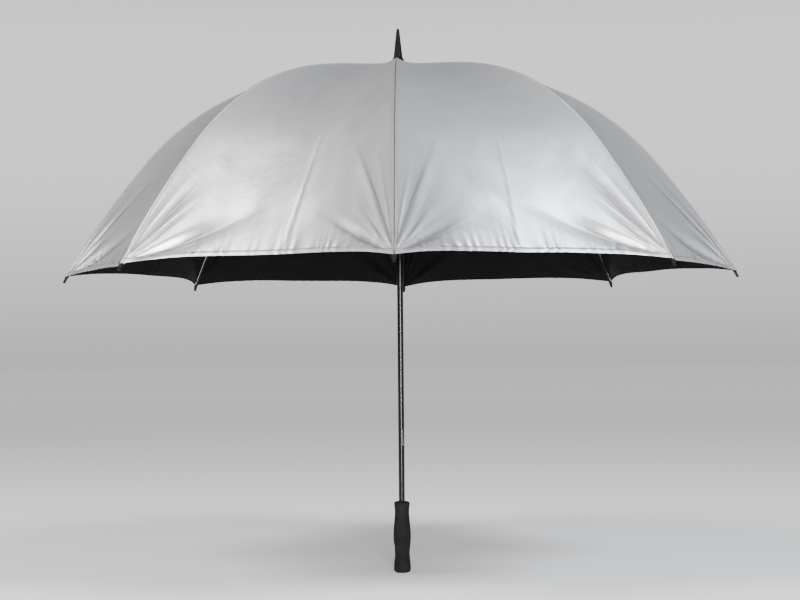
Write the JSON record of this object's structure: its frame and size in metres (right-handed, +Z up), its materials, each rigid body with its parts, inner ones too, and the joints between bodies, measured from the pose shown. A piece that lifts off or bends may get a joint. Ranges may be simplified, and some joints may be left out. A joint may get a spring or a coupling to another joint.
{
  "type": "golf umbrella",
  "caption": "Open manual golf umbrella with a silver outside and black inside canopy, folding ribs and stretchers, sliding runner and straight foam grip.",
  "frame": {"origin": "centre of the grip's flat bottom face, on the shaft's axis", "axes": "+Z up along the shaft to the ferrule; rib 0 lies over +X and the rest follow every 45 degrees about +Z"},
  "size_m": [1.2478, 1.2478, 1.003],
  "materials": {
    "canopy_cloth": "silver-coated polyester pongee, black inside",
    "rib_rod": "black pultruded glass-fibre rod",
    "stretcher_rod": "black pultruded glass-fibre rod",
    "tip_moulding": "black moulded nylon",
    "shaft_enamel": "gloss black enamel on steel tube",
    "grip_foam": "matt black foam rubber",
    "spring_wire": "bright spring steel",
    "canopy_washer_cloth": "black coated cloth",
    "black_moulding": "black moulded nylon"
  },
  "bodies": {
    "root": {"shaft_tube": "shaft_enamel", "ferrule": "black_moulding", "canopy_washer": "canopy_washer_cloth", "crown_notch": "black_moulding", "crown_wire": "spring_wire", "grip": "grip_foam", "grip_plug": "black_moulding"},
    "runner": {"runner_sleeve": "black_moulding", "runner_wire": "spring_wire"},
    "top_catch": {"top_catch": "spring_wire"},
    "bottom_catch": {"bottom_catch": "spring_wire"},
    "rib_inner_0": {"rib_inner_0": "rib_rod"},
    "rib_outer_0": {"rib_outer_0": "rib_rod", "rib_tip_0": "tip_moulding"},
    "stretcher_0": {"stretcher_0": "stretcher_rod"},
    "rib_inner_45": {"rib_inner_45": "rib_rod"},
    "rib_outer_45": {"rib_outer_45": "rib_rod", "rib_tip_45": "tip_moulding"},
    "stretcher_45": {"stretcher_45": "stretcher_rod"},
    "rib_inner_90": {"rib_inner_90": "rib_rod"},
    "rib_outer_90": {"rib_outer_90": "rib_rod", "rib_tip_90": "tip_moulding"},
    "stretcher_90": {"stretcher_90": "stretcher_rod"},
    "rib_inner_135": {"rib_inner_135": "rib_rod"},
    "rib_outer_135": {"rib_outer_135": "rib_rod", "rib_tip_135": "tip_moulding"},
    "stretcher_135": {"stretcher_135": "stretcher_rod"},
    "rib_inner_180": {"rib_inner_180": "rib_rod"},
    "rib_outer_180": {"rib_outer_180": "rib_rod", "rib_tip_180": "tip_moulding"},
    "stretcher_180": {"stretcher_180": "stretcher_rod"},
    "rib_inner_225": {"rib_inner_225": "rib_rod"},
    "rib_outer_225": {"rib_outer_225": "rib_rod", "rib_tip_225": "tip_moulding"},
    "stretcher_225": {"stretcher_225": "stretcher_rod"},
    "rib_inner_270": {"rib_inner_270": "rib_rod"},
    "rib_outer_270": {"rib_outer_270": "rib_rod", "rib_tip_270": "tip_moulding"},
    "stretcher_270": {"stretcher_270": "stretcher_rod"},
    "rib_inner_315": {"rib_inner_315": "rib_rod"},
    "rib_outer_315": {"rib_outer_315": "rib_rod", "rib_tip_315": "tip_moulding"},
    "stretcher_315": {"stretcher_315": "stretcher_rod"},
    "gore_1_left": {"gore_1_left": "canopy_cloth"},
    "gore_1_right": {"gore_1_right": "canopy_cloth"},
    "gore_2_left": {"gore_2_left": "canopy_cloth"},
    "gore_2_right": {"gore_2_right": "canopy_cloth"},
    "gore_3_left": {"gore_3_left": "canopy_cloth"},
    "gore_3_right": {"gore_3_right": "canopy_cloth"},
    "gore_4_left": {"gore_4_left": "canopy_cloth"},
    "gore_4_right": {"gore_4_right": "canopy_cloth"},
    "gore_5_left": {"gore_5_left": "canopy_cloth"},
    "gore_5_right": {"gore_5_right": "canopy_cloth"},
    "gore_6_left": {"gore_6_left": "canopy_cloth"},
    "gore_6_right": {"gore_6_right": "canopy_cloth"},
    "gore_7_left": {"gore_7_left": "canopy_cloth"},
    "gore_7_right": {"gore_7_right": "canopy_cloth"},
    "gore_8_left": {"gore_8_left": "canopy_cloth"},
    "gore_8_right": {"gore_8_right": "canopy_cloth"}
  },
  "joints": [
    {"name": "runner_slide", "type": "slide", "parent": "root", "child": "runner", "axis": [0, 0, -1], "range_m": [0, 0.54054]},
    {"name": "rib_0_crown", "type": "hinge", "parent": "root", "child": "rib_inner_0", "pos_m": [0.014, 0, 0.9222], "axis": [0, 1, 0], "range_deg": [0, 75.54]},
    {"name": "rib_0_flex", "type": "hinge", "parent": "rib_inner_0", "child": "rib_outer_0", "pos_m": [0.35529, 0, 0.84966], "axis": [0, 1, 0], "range_deg": [-34.11, 0]},
    {"name": "stretcher_0_pin", "type": "hinge", "parent": "rib_inner_0", "child": "stretcher_0", "pos_m": [0.35268, 0, 0.8454], "axis": [0, 1, 0], "range_deg": [-150.79, 0]},
    {"name": "rib_45_crown", "type": "hinge", "parent": "root", "child": "rib_inner_45", "pos_m": [0.0099, 0.0099, 0.9222], "axis": [-0.7071, 0.7071, 0], "range_deg": [0, 75.54]},
    {"name": "rib_45_flex", "type": "hinge", "parent": "rib_inner_45", "child": "rib_outer_45", "pos_m": [0.25123, 0.25123, 0.84966], "axis": [-0.7071, 0.7071, 0], "range_deg": [-34.11, 0]},
    {"name": "stretcher_45_pin", "type": "hinge", "parent": "rib_inner_45", "child": "stretcher_45", "pos_m": [0.24938, 0.24938, 0.8454], "axis": [-0.7071, 0.7071, 0], "range_deg": [-150.79, 0]},
    {"name": "rib_90_crown", "type": "hinge", "parent": "root", "child": "rib_inner_90", "pos_m": [0, 0.014, 0.9222], "axis": [-1, 0, 0], "range_deg": [0, 75.54]},
    {"name": "rib_90_flex", "type": "hinge", "parent": "rib_inner_90", "child": "rib_outer_90", "pos_m": [0, 0.35529, 0.84966], "axis": [-1, 0, 0], "range_deg": [-34.11, 0]},
    {"name": "stretcher_90_pin", "type": "hinge", "parent": "rib_inner_90", "child": "stretcher_90", "pos_m": [0, 0.35268, 0.8454], "axis": [-1, 0, 0], "range_deg": [-150.79, 0]},
    {"name": "rib_135_crown", "type": "hinge", "parent": "root", "child": "rib_inner_135", "pos_m": [-0.0099, 0.0099, 0.9222], "axis": [-0.7071, -0.7071, 0], "range_deg": [0, 75.54]},
    {"name": "rib_135_flex", "type": "hinge", "parent": "rib_inner_135", "child": "rib_outer_135", "pos_m": [-0.25123, 0.25123, 0.84966], "axis": [-0.7071, -0.7071, 0], "range_deg": [-34.11, 0]},
    {"name": "stretcher_135_pin", "type": "hinge", "parent": "rib_inner_135", "child": "stretcher_135", "pos_m": [-0.24938, 0.24938, 0.8454], "axis": [-0.7071, -0.7071, 0], "range_deg": [-150.79, 0]},
    {"name": "rib_180_crown", "type": "hinge", "parent": "root", "child": "rib_inner_180", "pos_m": [-0.014, 0, 0.9222], "axis": [0, -1, 0], "range_deg": [0, 75.54]},
    {"name": "rib_180_flex", "type": "hinge", "parent": "rib_inner_180", "child": "rib_outer_180", "pos_m": [-0.35529, 0, 0.84966], "axis": [0, -1, 0], "range_deg": [-34.11, 0]},
    {"name": "stretcher_180_pin", "type": "hinge", "parent": "rib_inner_180", "child": "stretcher_180", "pos_m": [-0.35268, 0, 0.8454], "axis": [0, -1, 0], "range_deg": [-150.79, 0]},
    {"name": "rib_225_crown", "type": "hinge", "parent": "root", "child": "rib_inner_225", "pos_m": [-0.0099, -0.0099, 0.9222], "axis": [0.7071, -0.7071, 0], "range_deg": [0, 75.54]},
    {"name": "rib_225_flex", "type": "hinge", "parent": "rib_inner_225", "child": "rib_outer_225", "pos_m": [-0.25123, -0.25123, 0.84966], "axis": [0.7071, -0.7071, 0], "range_deg": [-34.11, 0]},
    {"name": "stretcher_225_pin", "type": "hinge", "parent": "rib_inner_225", "child": "stretcher_225", "pos_m": [-0.24938, -0.24938, 0.8454], "axis": [0.7071, -0.7071, 0], "range_deg": [-150.79, 0]},
    {"name": "rib_270_crown", "type": "hinge", "parent": "root", "child": "rib_inner_270", "pos_m": [0, -0.014, 0.9222], "axis": [1, 0, 0], "range_deg": [0, 75.54]},
    {"name": "rib_270_flex", "type": "hinge", "parent": "rib_inner_270", "child": "rib_outer_270", "pos_m": [0, -0.35529, 0.84966], "axis": [1, 0, 0], "range_deg": [-34.11, 0]},
    {"name": "stretcher_270_pin", "type": "hinge", "parent": "rib_inner_270", "child": "stretcher_270", "pos_m": [0, -0.35268, 0.8454], "axis": [1, 0, 0], "range_deg": [-150.79, 0]},
    {"name": "rib_315_crown", "type": "hinge", "parent": "root", "child": "rib_inner_315", "pos_m": [0.0099, -0.0099, 0.9222], "axis": [0.7071, 0.7071, 0], "range_deg": [0, 75.54]},
    {"name": "rib_315_flex", "type": "hinge", "parent": "rib_inner_315", "child": "rib_outer_315", "pos_m": [0.25123, -0.25123, 0.84966], "axis": [0.7071, 0.7071, 0], "range_deg": [-34.11, 0]},
    {"name": "stretcher_315_pin", "type": "hinge", "parent": "rib_inner_315", "child": "stretcher_315", "pos_m": [0.24938, -0.24938, 0.8454], "axis": [0.7071, 0.7071, 0], "range_deg": [-150.79, 0]},
    {"name": "gore_1_left_fold", "type": "hinge", "parent": "root", "child": "gore_1_left", "pos_m": [0, 0, 0.943], "axis": [0.4155, 0.6925, -0.5898], "range_deg": [0, 81.03], "deforming": ["gore_1_left"]},
    {"name": "gore_1_right_fold", "type": "hinge", "parent": "root", "child": "gore_1_right", "pos_m": [0, 0, 0.943], "axis": [-0.7835, 0.1959, 0.5898], "range_deg": [0, 81.03], "deforming": ["gore_1_right"]},
    {"name": "gore_2_left_fold", "type": "hinge", "parent": "root", "child": "gore_2_left", "pos_m": [0, 0, 0.943], "axis": [-0.1959, 0.7835, -0.5898], "range_deg": [0, 81.03], "deforming": ["gore_2_left"]},
    {"name": "gore_2_right_fold", "type": "hinge", "parent": "root", "child": "gore_2_right", "pos_m": [0, 0, 0.943], "axis": [-0.6925, -0.4155, 0.5898], "range_deg": [0, 81.03], "deforming": ["gore_2_right"]},
    {"name": "gore_3_left_fold", "type": "hinge", "parent": "root", "child": "gore_3_left", "pos_m": [0, 0, 0.943], "axis": [-0.6925, 0.4155, -0.5898], "range_deg": [0, 81.03], "deforming": ["gore_3_left"]},
    {"name": "gore_3_right_fold", "type": "hinge", "parent": "root", "child": "gore_3_right", "pos_m": [0, 0, 0.943], "axis": [-0.1959, -0.7835, 0.5898], "range_deg": [0, 81.03], "deforming": ["gore_3_right"]},
    {"name": "gore_4_left_fold", "type": "hinge", "parent": "root", "child": "gore_4_left", "pos_m": [0, 0, 0.943], "axis": [-0.7835, -0.1959, -0.5898], "range_deg": [0, 81.03], "deforming": ["gore_4_left"]},
    {"name": "gore_4_right_fold", "type": "hinge", "parent": "root", "child": "gore_4_right", "pos_m": [0, 0, 0.943], "axis": [0.4155, -0.6925, 0.5898], "range_deg": [0, 81.03], "deforming": ["gore_4_right"]},
    {"name": "gore_5_left_fold", "type": "hinge", "parent": "root", "child": "gore_5_left", "pos_m": [0, 0, 0.943], "axis": [-0.4155, -0.6925, -0.5898], "range_deg": [0, 81.03], "deforming": ["gore_5_left"]},
    {"name": "gore_5_right_fold", "type": "hinge", "parent": "root", "child": "gore_5_right", "pos_m": [0, 0, 0.943], "axis": [0.7835, -0.1959, 0.5898], "range_deg": [0, 81.03], "deforming": ["gore_5_right"]},
    {"name": "gore_6_left_fold", "type": "hinge", "parent": "root", "child": "gore_6_left", "pos_m": [0, 0, 0.943], "axis": [0.1959, -0.7835, -0.5898], "range_deg": [0, 81.03], "deforming": ["gore_6_left"]},
    {"name": "gore_6_right_fold", "type": "hinge", "parent": "root", "child": "gore_6_right", "pos_m": [0, 0, 0.943], "axis": [0.6925, 0.4155, 0.5898], "range_deg": [0, 81.03], "deforming": ["gore_6_right"]},
    {"name": "gore_7_left_fold", "type": "hinge", "parent": "root", "child": "gore_7_left", "pos_m": [0, 0, 0.943], "axis": [0.6925, -0.4155, -0.5898], "range_deg": [0, 81.03], "deforming": ["gore_7_left"]},
    {"name": "gore_7_right_fold", "type": "hinge", "parent": "root", "child": "gore_7_right", "pos_m": [0, 0, 0.943], "axis": [0.1959, 0.7835, 0.5898], "range_deg": [0, 81.03], "deforming": ["gore_7_right"]},
    {"name": "gore_8_left_fold", "type": "hinge", "parent": "root", "child": "gore_8_left", "pos_m": [0, 0, 0.943], "axis": [0.7835, 0.1959, -0.5898], "range_deg": [0, 81.03], "deforming": ["gore_8_left"]},
    {"name": "gore_8_right_fold", "type": "hinge", "parent": "root", "child": "gore_8_right", "pos_m": [0, 0, 0.943], "axis": [-0.4155, 0.6925, 0.5898], "range_deg": [0, 81.03], "deforming": ["gore_8_right"]},
    {"name": "top_catch_press", "type": "slide", "parent": "root", "child": "top_catch", "axis": [-0.3827, 0.9239, 0], "range_m": [0, 0.0025], "stiffness_N_per_m": 900, "springref_m": -0.0015},
    {"name": "bottom_catch_press", "type": "slide", "parent": "root", "child": "bottom_catch", "axis": [-0.3827, 0.9239, 0], "range_m": [0, 0.0025], "stiffness_N_per_m": 900, "springref_m": -0.0015}
  ],
  "couplings": [
    {"joint": "rib_0_crown", "follows": "runner_slide", "rad_per_m": 2.4295},
    {"joint": "rib_0_flex", "follows": "runner_slide", "rad_per_m": -1.0916},
    {"joint": "stretcher_0_pin", "follows": "runner_slide", "rad_per_m": -4.859},
    {"joint": "rib_45_crown", "follows": "runner_slide", "rad_per_m": 2.4295},
    {"joint": "rib_45_flex", "follows": "runner_slide", "rad_per_m": -1.0916},
    {"joint": "stretcher_45_pin", "follows": "runner_slide", "rad_per_m": -4.859},
    {"joint": "rib_90_crown", "follows": "runner_slide", "rad_per_m": 2.4295},
    {"joint": "rib_90_flex", "follows": "runner_slide", "rad_per_m": -1.0916},
    {"joint": "stretcher_90_pin", "follows": "runner_slide", "rad_per_m": -4.859},
    {"joint": "rib_135_crown", "follows": "runner_slide", "rad_per_m": 2.4295},
    {"joint": "rib_135_flex", "follows": "runner_slide", "rad_per_m": -1.0916},
    {"joint": "stretcher_135_pin", "follows": "runner_slide", "rad_per_m": -4.859},
    {"joint": "rib_180_crown", "follows": "runner_slide", "rad_per_m": 2.4295},
    {"joint": "rib_180_flex", "follows": "runner_slide", "rad_per_m": -1.0916},
    {"joint": "stretcher_180_pin", "follows": "runner_slide", "rad_per_m": -4.859},
    {"joint": "rib_225_crown", "follows": "runner_slide", "rad_per_m": 2.4295},
    {"joint": "rib_225_flex", "follows": "runner_slide", "rad_per_m": -1.0916},
    {"joint": "stretcher_225_pin", "follows": "runner_slide", "rad_per_m": -4.859},
    {"joint": "rib_270_crown", "follows": "runner_slide", "rad_per_m": 2.4295},
    {"joint": "rib_270_flex", "follows": "runner_slide", "rad_per_m": -1.0916},
    {"joint": "stretcher_270_pin", "follows": "runner_slide", "rad_per_m": -4.859},
    {"joint": "rib_315_crown", "follows": "runner_slide", "rad_per_m": 2.4295},
    {"joint": "rib_315_flex", "follows": "runner_slide", "rad_per_m": -1.0916},
    {"joint": "stretcher_315_pin", "follows": "runner_slide", "rad_per_m": -4.859},
    {"joint": "gore_1_left_fold", "follows": "runner_slide", "rad_per_m": 2.6068},
    {"joint": "gore_1_right_fold", "follows": "runner_slide", "rad_per_m": 2.6068},
    {"joint": "gore_2_left_fold", "follows": "runner_slide", "rad_per_m": 2.6068},
    {"joint": "gore_2_right_fold", "follows": "runner_slide", "rad_per_m": 2.6068},
    {"joint": "gore_3_left_fold", "follows": "runner_slide", "rad_per_m": 2.6068},
    {"joint": "gore_3_right_fold", "follows": "runner_slide", "rad_per_m": 2.6068},
    {"joint": "gore_4_left_fold", "follows": "runner_slide", "rad_per_m": 2.6068},
    {"joint": "gore_4_right_fold", "follows": "runner_slide", "rad_per_m": 2.6068},
    {"joint": "gore_5_left_fold", "follows": "runner_slide", "rad_per_m": 2.6068},
    {"joint": "gore_5_right_fold", "follows": "runner_slide", "rad_per_m": 2.6068},
    {"joint": "gore_6_left_fold", "follows": "runner_slide", "rad_per_m": 2.6068},
    {"joint": "gore_6_right_fold", "follows": "runner_slide", "rad_per_m": 2.6068},
    {"joint": "gore_7_left_fold", "follows": "runner_slide", "rad_per_m": 2.6068},
    {"joint": "gore_7_right_fold", "follows": "runner_slide", "rad_per_m": 2.6068},
    {"joint": "gore_8_left_fold", "follows": "runner_slide", "rad_per_m": 2.6068},
    {"joint": "gore_8_right_fold", "follows": "runner_slide", "rad_per_m": 2.6068}
  ]
}
